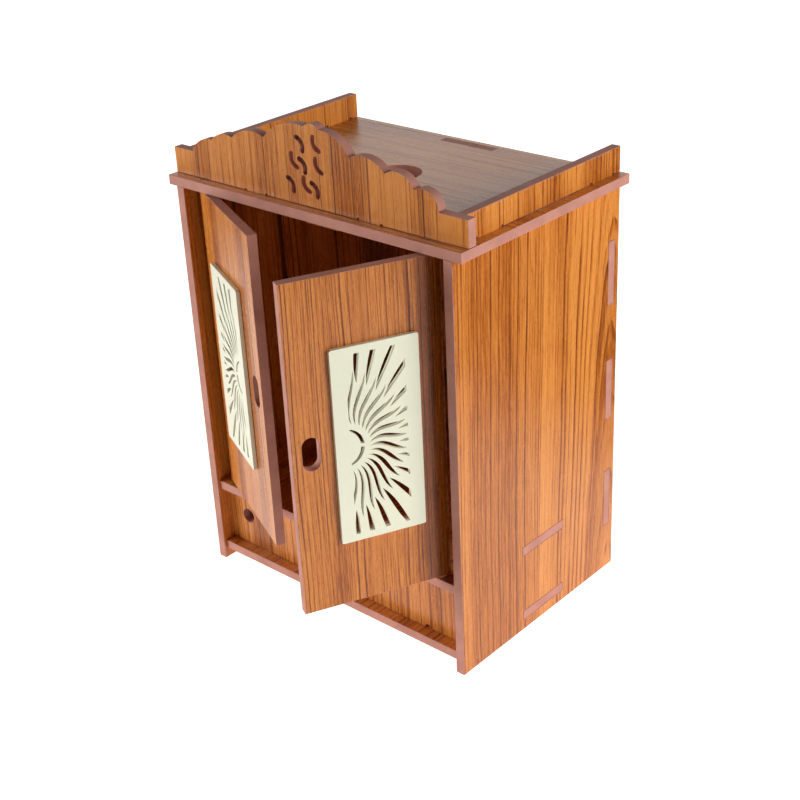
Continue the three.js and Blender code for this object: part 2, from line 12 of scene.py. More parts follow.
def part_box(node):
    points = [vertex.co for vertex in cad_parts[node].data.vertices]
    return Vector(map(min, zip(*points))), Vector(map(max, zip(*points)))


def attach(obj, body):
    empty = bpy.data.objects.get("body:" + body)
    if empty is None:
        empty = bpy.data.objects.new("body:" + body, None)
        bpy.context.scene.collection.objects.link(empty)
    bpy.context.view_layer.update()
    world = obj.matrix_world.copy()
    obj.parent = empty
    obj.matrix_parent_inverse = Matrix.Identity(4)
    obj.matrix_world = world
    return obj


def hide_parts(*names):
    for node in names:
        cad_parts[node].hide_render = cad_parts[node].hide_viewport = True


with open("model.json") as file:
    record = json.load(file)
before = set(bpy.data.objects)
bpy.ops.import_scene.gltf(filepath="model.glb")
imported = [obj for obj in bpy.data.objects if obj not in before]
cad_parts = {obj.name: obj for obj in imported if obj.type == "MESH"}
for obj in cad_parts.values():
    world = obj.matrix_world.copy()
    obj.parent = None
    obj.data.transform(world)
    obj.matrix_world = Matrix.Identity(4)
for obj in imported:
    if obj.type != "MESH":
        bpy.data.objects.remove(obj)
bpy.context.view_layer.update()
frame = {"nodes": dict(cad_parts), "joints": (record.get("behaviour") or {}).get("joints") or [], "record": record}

bl_info = {
    "name": "Household Altar Cabinet",
    "version": (1, 0, 0),
    "blender": (4, 5, 0),
    "location": "3D View > Sidebar > Cabinet",
    "description": "Finishes the boards, doors and sun plates of an altar cabinet and sets the studio",
    "category": "Object",
}

MM = 0.001

# Camera: side of the square image in pixels, and width of the sensor in millimetres
IMAGE_SIDE = 800
SENSOR = 36.0

# Faces closer to one plane than this are joined; corners sharper than the other are eased and shaded crisply
FLAT_ANGLE = math.radians(0.5)
CRISP_ANGLE = math.radians(50)

# Growth lines: how the steps between them vary, where in its step a line is darkest, and how faint it can be
STEP_CHANGE = 0.37
STEP_DRIFT = 3.4
LINE_PEAK = 0.92
LINE_SOFTENING = 1.6
FAINTEST_LINE = 0.12

# Wood print: noise cells a metre, across the grain and along it
SWAY_CELLS = (7, 1.9)
SHIVER_CELLS = (70, 14)
BOLD_FADE_CELLS = (160, 9)
FINE_FADE_CELLS = (400, 16)
BAND_CELLS = (34, 0.9)
FIBRE_CELLS = (1300, 42)
PORE_CELLS = (2300, 230)

# Wood print: reach of the sway and the shiver, steps of the fine lines, and how much each layer darkens
SWAY_REACH = 4
SHIVER_REACH = 0.0016
FINE_STEP = 0.37
FINE_SEED = 5.3
BAND_SHARE = 0.36
BOLD_SHARE = 0.72
FINE_SHARE = 0.46

# Pool of light on the floor: an oval whose light fades from this share of its radius to its rim
POOL_Y = -0.25
POOL_RADIUS = 0.5
POOL_SQUEEZE = 0.5
POOL_FADE = 0.68
FLOOR_RADIUS = 9
FLOOR_DROP = -0.5 * MM
DISC_SIDES = 96

# Soft lights: turn, height and distance round the cabinet, then width and height of the light
KEY_PLACE = (99, 22, 1.9)
KEY_SIZE = (1.3, 1.0)
FILL_PLACE = (-44, 16, 2.2)
FILL_SIZE = (1.2, 1.0)
SCREEN_PLACE = (222, 25, 2.6)
SCREEN_SIZE = (3.4, 1.6)
LIGHT_AIM = (0, -0.09, 0.2)

X_AXIS = Vector((1, 0, 0))
Y_AXIS = Vector((0, 1, 0))
Z_AXIS = Vector((0, 0, 1))


def linear(code):
    """The linear colour of a six-figure screen colour."""
    parts = [int(code[i:i + 2], 16) / 255 for i in (0, 2, 4)]
    return tuple(p / 12.92 if p <= 0.04045 else ((p + 0.055) / 1.055) ** 2.4 for p in parts)


def colour(name, code, description):
    """A colour setting whose default is a six-figure screen colour."""
    return FloatVectorProperty(name=name, description=description, subtype="COLOR", size=3,
                               min=0, max=1, default=linear(code))


def length(name, metres, description):
    """A length setting in metres."""
    return FloatProperty(name=name, description=description, subtype="DISTANCE", unit="LENGTH",
                         default=metres, precision=5)


def share(name, default, description):
    """A setting between nothing and all."""
    return FloatProperty(name=name, description=description, subtype="FACTOR", min=0, max=1, default=default)


# Settings

class CabinetBoards(bpy.types.PropertyGroup):
    ease: length("Edge ease", 0.28 * MM, "How far the corners of a cut board are rounded over")
    plate_ease: length("Plate ease", 0.35 * MM, "How far the corners of a sun plate are rounded over")
    line_pitch: length("Line pitch", 5.6 * MM, "Typical distance between two dark lines of the grain")
    wander: length("Line wander", 5.0 * MM, "How far a line of the grain drifts along a board")
    wear_reach: length("Wear reach", 2.2 * MM, "How far from a board's rim the print looks rubbed")


class CabinetColours(bpy.types.PropertyGroup):
    amber: colour("Amber", "E29140", "Lightest streaks of the wood print")
    brown: colour("Brown", "AE5A12", "Broad reddish bands of the wood print")
    line: colour("Line", "501F05", "Dark lines of the wood print")
    edge: colour("Cut edge", "C68977", "Bare fibreboard on the cut edges")
    edge_dark: colour("Cut edge, dark", "9A6254", "Darker fibres of the cut edges")
    cream: colour("Cream", "E9E8CF", "Sun plates")
    floor: colour("Floor", "F4F4F4", "Studio floor")
    gloss: share("Face roughness", 0.24, "Roughness of the wood-grain faces")


class CabinetStudio(bpy.types.PropertyGroup):
    azimuth: FloatProperty(name="Azimuth", description="Camera's turn round the cabinet", subtype="ANGLE",
                           default=math.radians(42.41))
    elevation: FloatProperty(name="Elevation", description="Camera's height as an angle", subtype="ANGLE",
                             default=math.radians(26.544))
    roll: FloatProperty(name="Roll", description="Camera's turn about its own view", subtype="ANGLE",
                        default=math.radians(-2.757))
    distance: length("Distance", 1133.184 * MM, "Camera's distance from the point that it looks at")
    target_height: length("Target height", 158.192 * MM, "Height of the point that the camera looks at")
    focal_pixels: FloatProperty(name="Focal length", description="Focal length in pixels of the image",
                                default=1450.824)
    centre_across: FloatProperty(name="Centre across", description="Optical centre in pixels from the left",
                                 default=404.685)
    centre_down: FloatProperty(name="Centre down", description="Optical centre in pixels from the top",
                               default=387.415)
    sky: FloatProperty(name="Sky", description="Strength of the surroundings' light", default=0.05)
    glow: FloatProperty(name="Floor glow", description="How much light the floor gives off", default=0.7)
    seen_glow: FloatProperty(name="Seen floor glow", description="How bright the floor itself looks",
                             default=0.94)
    key: FloatProperty(name="Key", description="Power of the large light at the right", subtype="POWER",
                       default=27)
    fill: FloatProperty(name="Fill", description="Power of the light at the front left", subtype="POWER",
                        default=31)
    screen: FloatProperty(name="Screen", description="Power of the pale screen behind", subtype="POWER",
                          default=18)


def boards():
    return bpy.context.scene.cabinet_boards


def colours():
    return bpy.context.scene.cabinet_colours


def studio():
    return bpy.context.scene.cabinet_studio


# Node helpers

def new_group(name, inputs, outputs):
    """An empty shader node group with named sockets, and its input and output nodes."""
    group = bpy.data.node_groups.new(name, "ShaderNodeTree")
    for label, kind, default in inputs:
        socket = group.interface.new_socket(name=label, in_out="INPUT", socket_type=kind)
        if default is not None:
            socket.default_value = default
    for label, kind in outputs:
        group.interface.new_socket(name=label, in_out="OUTPUT", socket_type=kind)
    return group, group.nodes.new("NodeGroupInput"), group.nodes.new("NodeGroupOutput")


def feed(tree, socket, value):
    """Links a socket or sets a plain value."""
    if isinstance(value, bpy.types.NodeSocket):
        tree.links.new(value, socket)
    elif value is not None:
        socket.default_value = value


def maths(tree, operation, a, b=None, c=None, clamp=False):
    node = tree.nodes.new("ShaderNodeMath")
    node.operation = operation
    node.use_clamp = clamp
    for socket, value in zip(node.inputs, (a, b, c)):
        feed(tree, socket, value)
    return node.outputs[0]


def spread(tree, value, low, high, out_low=0.0, out_high=1.0, smooth=True):
    """Takes a value from one range to another and keeps it there."""
    node = tree.nodes.new("ShaderNodeMapRange")
    node.interpolation_type = "SMOOTHSTEP" if smooth else "LINEAR"
    for label, number in (("Value", value), ("From Min", low), ("From Max", high),
                          ("To Min", out_low), ("To Max", out_high)):
        feed(tree, node.inputs[label], number)
    return node.outputs["Result"]


def blend(tree, amount, a, b, mode="MIX"):
    node = tree.nodes.new("ShaderNodeMix")
    node.data_type = "RGBA"
    node.blend_type = mode
    feed(tree, node.inputs[0], amount)
    feed(tree, node.inputs[6], a)
    feed(tree, node.inputs[7], b)
    return node.outputs[2]


def noise(tree, vector, scale=1.0, detail=2.0, roughness=0.5):
    node = tree.nodes.new("ShaderNodeTexNoise")
    node.noise_dimensions = "3D"
    feed(tree, node.inputs["Vector"], vector)
    node.inputs["Scale"].default_value = scale
    node.inputs["Detail"].default_value = detail
    node.inputs["Roughness"].default_value = roughness
    return node.outputs["Fac"]


def separate(tree, vector):
    node = tree.nodes.new("ShaderNodeSeparateXYZ")
    feed(tree, node.inputs[0], vector)
    return node.outputs


def combine(tree, x, y, z):
    node = tree.nodes.new("ShaderNodeCombineXYZ")
    for socket, value in zip(node.inputs, (x, y, z)):
        feed(tree, socket, value)
    return node.outputs[0]


def rgba(values):
    return (*values, 1.0)


# Shared effects

def growth_lines_group():
    """Dark lines at uneven steps, each with a soft side, a crisp side and a strength of its own."""
    group, source, result = new_group(
        "Growth lines",
        [("Radius", "NodeSocketFloat", 0.0), ("Fade", "NodeSocketFloat", 1.0),
         ("Seed", "NodeSocketFloat", 0.0), ("Pitch", "NodeSocketFloat", 0.006),
         ("Softness", "NodeSocketFloat", 0.5)],
        [("Lines", "NodeSocketFloat")])
    seed = source.outputs["Seed"]
    count = maths(group, "DIVIDE", source.outputs["Radius"], source.outputs["Pitch"])
    uneven = noise(group, combine(group, maths(group, "MULTIPLY", count, STEP_CHANGE), 0.0, seed), detail=1)
    count = maths(group, "ADD", count, maths(group, "MULTIPLY", uneven, STEP_DRIFT))
    ring = maths(group, "FLOOR", count)
    phase = maths(group, "FRACT", count)
    rise = maths(group, "SUBTRACT", LINE_PEAK, source.outputs["Softness"])
    soft_side = maths(group, "POWER", spread(group, phase, rise, LINE_PEAK), LINE_SOFTENING)
    crisp_side = spread(group, phase, LINE_PEAK, 1.0, 1.0, 0.0)
    dice = group.nodes.new("ShaderNodeTexWhiteNoise")
    dice.noise_dimensions = "2D"
    feed(group, dice.inputs["Vector"], combine(group, ring, seed, 0.0))
    strength = spread(group, dice.outputs["Value"], 0.05, 1.0, FAINTEST_LINE, 1.0, smooth=False)
    strength = maths(group, "MULTIPLY", strength, source.outputs["Fade"])
    line = maths(group, "MULTIPLY", soft_side, crisp_side)
    feed(group, result.inputs["Lines"], maths(group, "MULTIPLY", line, strength, clamp=True))
    return group


def wood_print_group():
    """Growth lines, broad warm bands, fibres and short pores that run along the second axis of the vector."""
    group, source, result = new_group(
        "Wood print",
        [("Vector", "NodeSocketVector", None), ("Seed", "NodeSocketFloat", 0.0),
         ("Pitch", "NodeSocketFloat", 0.006), ("Wander", "NodeSocketFloat", 0.005),
         ("Heart", "NodeSocketVector", (0.2, 0.05, 0.0)), ("Tone", "NodeSocketFloat", 0.0),
         ("Amber", "NodeSocketColor", None), ("Brown", "NodeSocketColor", None),
         ("Line", "NodeSocketColor", None)],
        [("Color", "NodeSocketColor"), ("Lines", "NodeSocketFloat"), ("Fibres", "NodeSocketFloat")])
    x, y, _ = separate(group, source.outputs["Vector"])
    seed = source.outputs["Seed"]

    def stretched(cells, detail=2, roughness=0.5):
        """Noise with this many cells a metre across the grain and along it."""
        spot_x = maths(group, "MULTIPLY", x, cells[0])
        spot_y = maths(group, "MULTIPLY", y, cells[1])
        return noise(group, combine(group, spot_x, spot_y, seed), detail=detail, roughness=roughness)

    def about_nothing(value, reach):
        """A noise value moved to lie around zero, times how far it reaches."""
        return maths(group, "MULTIPLY", maths(group, "SUBTRACT", value, 0.5), reach)

    heart_x, heart_depth, heart_slope = separate(group, source.outputs["Heart"])
    sway = about_nothing(stretched(SWAY_CELLS), source.outputs["Wander"])
    shiver = about_nothing(stretched(SHIVER_CELLS), SHIVER_REACH)
    across = maths(group, "SUBTRACT", x, heart_x)
    across = maths(group, "ADD", across, maths(group, "MULTIPLY", sway, SWAY_REACH))
    depth = maths(group, "ADD", heart_depth, maths(group, "MULTIPLY", y, heart_slope))
    radius = maths(group, "SQRT", maths(group, "ADD", maths(group, "MULTIPLY", across, across),
                                        maths(group, "MULTIPLY", depth, depth)))
    radius = maths(group, "ADD", radius, shiver)

    pitch = source.outputs["Pitch"]
    lines_of = shared("Growth lines", growth_lines_group)
    fade = spread(group, stretched(BOLD_FADE_CELLS), 0.3, 0.62, 0.35, 1.0)
    bold = place_group(group, lines_of, Radius=radius, Fade=fade, Seed=seed, Pitch=pitch,
                       Softness=0.5)["Lines"]
    fade = spread(group, stretched(FINE_FADE_CELLS), 0.35, 0.6, 0.2, 1.0)
    fine = place_group(group, lines_of, Radius=radius, Fade=fade, Seed=maths(group, "ADD", seed, FINE_SEED),
                       Pitch=maths(group, "MULTIPLY", pitch, FINE_STEP), Softness=0.7)["Lines"]
    along_radius = maths(group, "MULTIPLY", radius, BAND_CELLS[0])
    along_grain = maths(group, "MULTIPLY", y, BAND_CELLS[1])
    bands = noise(group, combine(group, along_radius, along_grain, seed), detail=2)
    fibres = stretched(FIBRE_CELLS, detail=3, roughness=0.65)
    pores = stretched(PORE_CELLS, detail=1)

    dark = maths(group, "MULTIPLY", spread(group, bands, 0.4, 0.66), BAND_SHARE)
    dark = maths(group, "ADD", dark, maths(group, "MULTIPLY", bold, BOLD_SHARE))
    dark = maths(group, "ADD", dark, maths(group, "MULTIPLY", fine, FINE_SHARE))
    dark = maths(group, "ADD", dark, spread(group, fibres, 0.3, 0.8, -0.2, 0.24, smooth=False))
    dark = maths(group, "ADD", dark, spread(group, pores, 0.58, 0.72, 0.0, 0.16))
    # Tone darkens the whole print; on the back panel and the left side it is painted shade standing in for the dim
    # inside of the cabinet
    dark = maths(group, "ADD", dark, source.outputs["Tone"], clamp=True)
    base = blend(group, spread(group, dark, 0.0, 0.5, smooth=False), source.outputs["Amber"],
                 source.outputs["Brown"])
    base = blend(group, spread(group, dark, 0.4, 0.95, smooth=False), base, source.outputs["Line"])
    feed(group, result.inputs["Color"], base)
    feed(group, result.inputs["Lines"], maths(group, "MAXIMUM", bold, maths(group, "MULTIPLY", fine, 0.5)))
    feed(group, result.inputs["Fibres"], fibres)
    return group


def rim_wear_group():
    """How rubbed a face is near its rim: distance to the rim of a rectangle, broken up by noise."""
    group, source, result = new_group(
        "Rim wear",
        [("Vector", "NodeSocketVector", None), ("Half size", "NodeSocketVector", None),
         ("Reach", "NodeSocketFloat", 0.002)],
        [("Wear", "NodeSocketFloat")])
    x, y, _ = separate(group, source.outputs["Vector"])
    half_x, half_y, _ = separate(group, source.outputs["Half size"])
    gap_x = maths(group, "SUBTRACT", half_x, maths(group, "ABSOLUTE", x))
    gap_y = maths(group, "SUBTRACT", half_y, maths(group, "ABSOLUTE", y))
    gap = maths(group, "DIVIDE", maths(group, "MINIMUM", gap_x, gap_y), source.outputs["Reach"])
    near = spread(group, gap, 0.0, 1.0, 1.0, 0.0)
    patches = noise(group, source.outputs["Vector"], scale=160, detail=3)
    feed(group, result.inputs["Wear"], maths(group, "MULTIPLY", near, spread(group, patches, 0.4, 0.7)))
    return group


def dust_group():
    """Soft uneven patches that make a finish a little duller and paler."""
    group, source, result = new_group("Handling marks", [("Vector", "NodeSocketVector", None)],
                                      [("Marks", "NodeSocketFloat")])
    broad = noise(group, source.outputs["Vector"], scale=14, detail=3)
    fine = noise(group, source.outputs["Vector"], scale=220, detail=2)
    marks = maths(group, "ADD", maths(group, "MULTIPLY", broad, 0.7), maths(group, "MULTIPLY", fine, 0.3))
    feed(group, result.inputs["Marks"], spread(group, marks, 0.35, 0.65))
    return group


def shared(name, make):
    """The node group of that name, made once."""
    return bpy.data.node_groups.get(name) or make()


def place_group(tree, group, **values):
    node = tree.nodes.new("ShaderNodeGroup")
    node.node_tree = group
    for label, value in values.items():
        feed(tree, node.inputs[label.replace("_", " ")], value)
    return node.outputs


# Materials

def new_material(name):
    """A material with an empty Principled shader, its node tree and its Object coordinates."""
    material = bpy.data.materials.new(name)
    material.use_nodes = True
    tree = material.node_tree
    tree.nodes.clear()
    output = tree.nodes.new("ShaderNodeOutputMaterial")
    shader = tree.nodes.new("ShaderNodeBsdfPrincipled")
    tree.links.new(shader.outputs["BSDF"], output.inputs["Surface"])
    position = tree.nodes.new("ShaderNodeTexCoord").outputs["Object"]
    return material, tree, shader, position


def mapped(tree, position, centre, turn):
    """The place in a board's own axes: across the grain, along the grain, through the board."""
    mapping = tree.nodes.new("ShaderNodeMapping")
    mapping.vector_type = "TEXTURE"
    feed(tree, mapping.inputs["Vector"], position)
    mapping.inputs["Location"].default_value = centre
    mapping.inputs["Rotation"].default_value = turn.to_euler()
    return mapping.outputs["Vector"]


def bump(tree, shader, height, strength, distance):
    node = tree.nodes.new("ShaderNodeBump")
    node.inputs["Strength"].default_value = strength
    node.inputs["Distance"].default_value = distance
    feed(tree, node.inputs["Height"], height)
    tree.links.new(node.outputs["Normal"], shader.inputs["Normal"])


def laminate(name, board, centre, half_size):
    """Printed wood grain under a satin film, in the axes of one board."""
    material, tree, shader, position = new_material(name)
    setting, tint = boards(), colours()
    place = mapped(tree, position, centre, board.turn())
    grain = place_group(tree, shared("Wood print", wood_print_group), Vector=place, Seed=board.seed,
                        Pitch=board.pitch * setting.line_pitch, Wander=setting.wander, Heart=board.heart,
                        Tone=board.tone, Amber=rgba(tint.amber), Brown=rgba(tint.brown), Line=rgba(tint.line))
    wear = place_group(tree, shared("Rim wear", rim_wear_group), Vector=place, Half_size=half_size,
                       Reach=setting.wear_reach)["Wear"]
    marks = place_group(tree, shared("Handling marks", dust_group), Vector=place)["Marks"]
    rubbed = blend(tree, maths(tree, "MULTIPLY", wear, 0.45), grain["Color"], rgba(tint.edge))
    feed(tree, shader.inputs["Base Color"], rubbed)
    rough = maths(tree, "ADD", tint.gloss, maths(tree, "MULTIPLY", grain["Lines"], 0.10))
    rough = maths(tree, "ADD", rough, maths(tree, "MULTIPLY", marks, 0.05))
    feed(tree, shader.inputs["Roughness"], maths(tree, "ADD", rough, maths(tree, "MULTIPLY", wear, 0.3)))
    relief = maths(tree, "SUBTRACT", grain["Fibres"], maths(tree, "MULTIPLY", grain["Lines"], 0.6))
    bump(tree, shader, relief, 0.12, 0.0002)
    return material


def cut_edge():
    """Bare fibreboard where a board is cut."""
    known = bpy.data.materials.get("Cut edge")
    if known:
        return known
    material, tree, shader, position = new_material("Cut edge")
    tint = colours()
    fibres = noise(tree, position, scale=900, detail=3, roughness=0.65)
    clouds = noise(tree, position, scale=60, detail=3)
    toned = blend(tree, spread(tree, clouds, 0.3, 0.7, 0.0, 0.35), rgba(tint.edge), rgba(tint.edge_dark))
    toned = blend(tree, spread(tree, fibres, 0.5, 0.75, 0.0, 0.4), toned, rgba(tint.edge_dark))
    feed(tree, shader.inputs["Base Color"], toned)
    feed(tree, shader.inputs["Roughness"], spread(tree, fibres, 0.3, 0.7, 0.62, 0.8))
    bump(tree, shader, fibres, 0.25, 0.0001)
    return material


def cream_finish():
    """Smooth cream plate, a little uneven in gloss and tone."""
    known = bpy.data.materials.get("Cream plate")
    if known:
        return known
    material, tree, shader, position = new_material("Cream plate")
    tint = colours()
    marks = place_group(tree, shared("Handling marks", dust_group), Vector=position)["Marks"]
    speck = noise(tree, position, scale=700, detail=2)
    dull = tuple(c * 0.9 for c in tint.cream)
    toned = blend(tree, maths(tree, "MULTIPLY", marks, 0.25), rgba(tint.cream), rgba(dull))
    feed(tree, shader.inputs["Base Color"], toned)
    feed(tree, shader.inputs["Roughness"], spread(tree, marks, 0.0, 1.0, 0.34, 0.42))
    bump(tree, shader, speck, 0.06, 0.0001)
    return material


# Boards

class Board:
    """Which way a board faces and how its grain runs, with the look of its own sheet; its tone darkens the whole
    print, and on the back panel and the left side that darkening is painted shade for the dim inside of the
    cabinet.
    """

    def __init__(self, node, normal, grain, seed, tone=0.0, pitch=1.0, heart=(0.3, 0.05, 0.0)):
        self.node = node
        self.normal = Vector(normal).normalized()
        self.grain = Vector(grain).normalized()
        self.across = self.grain.cross(self.normal).normalized()
        self.seed = seed
        self.tone = tone
        self.pitch = pitch
        self.heart = heart

    def turn(self):
        return Matrix((self.across, self.grain, self.normal)).transposed()


def join_flat_faces(bm):
    """Joins neighbours that lie in one plane."""
    bmesh.ops.dissolve_limit(bm, angle_limit=FLAT_ANGLE, use_dissolve_boundaries=False,
                             verts=bm.verts, edges=bm.edges)


def merged_copy(node):
    """A CAD node's solid with its loose triangles joined into whole faces."""
    bm = bmesh.new()
    bm.from_mesh(frame["nodes"][node].data)
    bmesh.ops.remove_doubles(bm, verts=bm.verts, dist=0.005 * MM)
    join_flat_faces(bm)
    return bm


def shorten_seams(bm):
    """Divides the faces anew, so that the seams between a face's openings are short ones."""
    bmesh.ops.triangulate(bm, faces=bm.faces, ngon_method="BEAUTY")
    join_flat_faces(bm)


def lies_on_face(face, normal, low, high):
    """Whether a face is part of one of a board's two broad sides."""
    depth = face.calc_center_median().dot(normal)
    close = min(abs(depth - low), abs(depth - high)) < 0.02 * MM
    return close and abs(face.normal.dot(normal)) > 0.999


def ease_edges(bm, width):
    """Rounds over a board's outward corners."""
    bm.normal_update()
    rims = [e for e in bm.edges if e.is_convex and e.calc_face_angle(0) > CRISP_ANGLE]
    bmesh.ops.bevel(bm, geom=rims, offset=width, offset_type="OFFSET", affect="EDGES", segments=2,
                    profile=0.5, material=-1, clamp_overlap=True)


def finish_piece(bm, name, materials, node):
    """Makes the object, joins it to the CAD body of the node that it stands for, and smooths its shading."""
    mesh = bpy.data.meshes.new(name)
    bm.to_mesh(mesh)
    bm.free()
    for material in materials:
        mesh.materials.append(material)
    mesh.shade_smooth()
    mesh.set_sharp_from_angle(angle=CRISP_ANGLE)
    piece = bpy.data.objects.new(name, mesh)
    bpy.context.collection.objects.link(piece)
    weighted = piece.modifiers.new("Even shading", "WEIGHTED_NORMAL")
    weighted.keep_sharp = True
    weighted.weight = 100
    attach(piece, BODY_OF[node])
    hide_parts(node)
    return piece


def add_board(board, name):
    """A board with eased edges: wood print on its broad sides, bare fibreboard on every cut."""
    bm = merged_copy(board.node)
    shorten_seams(bm)
    broad_depths = [f.calc_center_median().dot(board.normal) for f in bm.faces
                    if abs(f.normal.dot(board.normal)) > 0.999]
    low, high = min(broad_depths), max(broad_depths)
    ease_edges(bm, boards().ease)
    for face in bm.faces:
        face.material_index = 0 if lies_on_face(face, board.normal, low, high) else 1
    spots = [v.co for v in bm.verts]
    reach = [[p.dot(axis) for p in spots] for axis in (board.across, board.grain, board.normal)]
    middle = [(min(r) + max(r)) / 2 for r in reach]
    half_size = [(max(r) - min(r)) / 2 for r in reach]
    centre = board.across * middle[0] + board.grain * middle[1] + board.normal * middle[2]
    face_finish = laminate(f"Wood print {name}", board, centre, half_size)
    return finish_piece(bm, name, [face_finish, cut_edge()], board.node)


BODY_OF = {node: body for body, nodes in frame["record"]["behaviour"]["bodies"].items() for node in nodes}


def door_normal(side):
    """The outward normal of a door's face as it stands at rest, from how far its joint can still close it."""
    hinge = "right_door_hinge" if side > 0 else "left_door_hinge"
    low, high = next(j["range_deg"] for j in frame["joints"] if j["name"] == hinge)
    turn = math.radians(-low if side > 0 else -high)
    return Matrix.Rotation(turn, 3, "Z") @ Vector((0, -1, 0))


class CABINET_OT_sides(bpy.types.Operator):
    """Adds the two side panels, which are also the feet"""

    bl_idname = "cabinet.sides"
    bl_label = "Side Panels"

    def execute(self, context):
        right = Board("side_panel_right", X_AXIS, Z_AXIS, 3.7, pitch=0.85, heart=(0.088, 0.038, 0.05))
        # The left side's tone is painted shade for the dim inside of the cabinet
        left = Board("side_panel_left", X_AXIS, Z_AXIS, 11.2, tone=0.22, heart=(-0.3, 0.05, 0.02))
        add_board(right, "right_side")
        add_board(left, "left_side")
        return {"FINISHED"}


class CABINET_OT_back(bpy.types.Operator):
    """Adds the back panel with its tabs"""

    bl_idname = "cabinet.back"
    bl_label = "Back Panel"

    def execute(self, context):
        # The back panel's tone is painted shade for the dim inside of the cabinet
        add_board(Board("back_panel", Y_AXIS, Z_AXIS, 21.4, tone=0.34, heart=(0.03, 0.02, 0.1)), "back")
        return {"FINISHED"}


class CABINET_OT_floors(bpy.types.Operator):
    """Adds the shelf and the bottom board, whose grain runs from front to back"""

    bl_idname = "cabinet.floors"
    bl_label = "Shelf and Bottom"

    def execute(self, context):
        add_board(Board("shelf", Z_AXIS, Y_AXIS, 31.9), "shelf_board")
        add_board(Board("bottom_board", Z_AXIS, Y_AXIS, 37.3), "floor_board")
        return {"FINISHED"}


class CABINET_OT_lower_front(bpy.types.Operator):
    """Adds the front of the low compartment, with its round hole"""

    bl_idname = "cabinet.lower_front"
    bl_label = "Lower Front"

    def execute(self, context):
        add_board(Board("lower_front_panel", Y_AXIS, Z_AXIS, 44.1, tone=0.12, pitch=0.75), "lower_front")
        return {"FINISHED"}


class CABINET_OT_top(bpy.types.Operator):
    """Adds the top board and the short strip under its front that the doors close against"""

    bl_idname = "cabinet.top"
    bl_label = "Top and Door Stop"

    def execute(self, context):
        add_board(Board("top_board", Z_AXIS, X_AXIS, 52.6, heart=(0.2, 0.05, 0.03)), "top")
        add_board(Board("door_stop", Y_AXIS, X_AXIS, 57.0), "stop_strip")
        return {"FINISHED"}


class CABINET_OT_rails(bpy.types.Operator):
    """Adds the rails along the sides of the top"""

    bl_idname = "cabinet.rails"
    bl_label = "Rails"

    def execute(self, context):
        add_board(Board("rail_left", X_AXIS, Z_AXIS, 61.5, pitch=0.75), "left_rail")
        add_board(Board("rail_right", X_AXIS, Z_AXIS, 66.8, pitch=0.75), "right_rail")
        return {"FINISHED"}


class CABINET_OT_crest(bpy.types.Operator):
    """Adds the scalloped crest with its shallow strokes"""

    bl_idname = "cabinet.crest"
    bl_label = "Crest"

    def execute(self, context):
        add_board(Board("crest_board", Y_AXIS, Z_AXIS, 73.3, pitch=0.65, heart=(-0.25, 0.05, 0.0)), "crest")
        return {"FINISHED"}


class CABINET_OT_doors(bpy.types.Operator):
    """Adds the two doors with their pins"""

    bl_idname = "cabinet.doors"
    bl_label = "Doors"

    def execute(self, context):
        left = Board("door_left", door_normal(-1), Z_AXIS, 83.9, tone=0.12, pitch=0.7,
                     heart=(0.3, 0.05, 0.02))
        right = Board("door_right", door_normal(1), Z_AXIS, 89.4, tone=0.25, pitch=0.6,
                      heart=(-0.28, 0.05, 0.03))
        add_board(left, "left_door")
        add_board(right, "right_door")
        return {"FINISHED"}


class CABINET_OT_sun_plates(bpy.types.Operator):
    """Adds the cream plates with the pierced suns"""

    bl_idname = "cabinet.sun_plates"
    bl_label = "Sun Plates"

    def execute(self, context):
        for side, name in ((-1, "left"), (1, "right")):
            node = f"ray_panel_{name}"
            bm = merged_copy(node)
            ease_edges(bm, boards().plate_ease)
            finish_piece(bm, f"{name}_sun_plate", [cream_finish()], node)
        return {"FINISHED"}


# Studio

def camera_axes(setting):
    """The camera's own right, up and backward directions."""
    azimuth, elevation, roll = setting.azimuth, setting.elevation, setting.roll
    back = Vector((math.sin(azimuth) * math.cos(elevation), -math.cos(azimuth) * math.cos(elevation),
                   math.sin(elevation)))
    level = Z_AXIS.cross(back).normalized()
    upright = back.cross(level)
    right = level * math.cos(roll) + upright * math.sin(roll)
    up = upright * math.cos(roll) - level * math.sin(roll)
    return right, up, back


def add_camera(setting):
    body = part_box("side_panel_left"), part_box("side_panel_right")
    middle_y = (body[0][0][1] + body[1][1][1]) / 2
    target = Vector((0, middle_y, setting.target_height))
    right, up, back = camera_axes(setting)
    data = bpy.data.cameras.new("Studio camera")
    data.sensor_width = SENSOR
    data.lens = setting.focal_pixels * SENSOR / IMAGE_SIDE
    data.shift_x = (IMAGE_SIDE / 2 - setting.centre_across) / IMAGE_SIDE
    data.shift_y = (setting.centre_down - IMAGE_SIDE / 2) / IMAGE_SIDE
    data.clip_start = 0.05
    data.clip_end = 100
    camera = bpy.data.objects.new("Studio camera", data)
    camera.matrix_world = Matrix.Translation(target + back * setting.distance) @ Matrix(
        (right, up, back)).transposed().to_4x4()
    bpy.context.collection.objects.link(camera)
    bpy.context.scene.camera = camera


def around(azimuth, elevation, distance):
    """A place round the cabinet: azimuth 0 is in front, 90 at the right."""
    turn, rise = math.radians(azimuth), math.radians(elevation)
    flat = Vector((math.sin(turn), -math.cos(turn), 0)) * math.cos(rise)
    return (flat + Z_AXIS * math.sin(rise)) * distance


def add_softbox(name, place, size, power):
    """A large soft light that faces the cabinet and isn't seen itself."""
    data = bpy.data.lights.new(name, "AREA")
    data.shape = "RECTANGLE"
    data.size, data.size_y = size
    data.energy = power
    light = bpy.data.objects.new(name, data)
    light.location = around(*place)
    light.rotation_euler = (Vector(LIGHT_AIM) - around(*place)).to_track_quat("-Z", "Y").to_euler()
    light.visible_camera = False
    bpy.context.collection.objects.link(light)


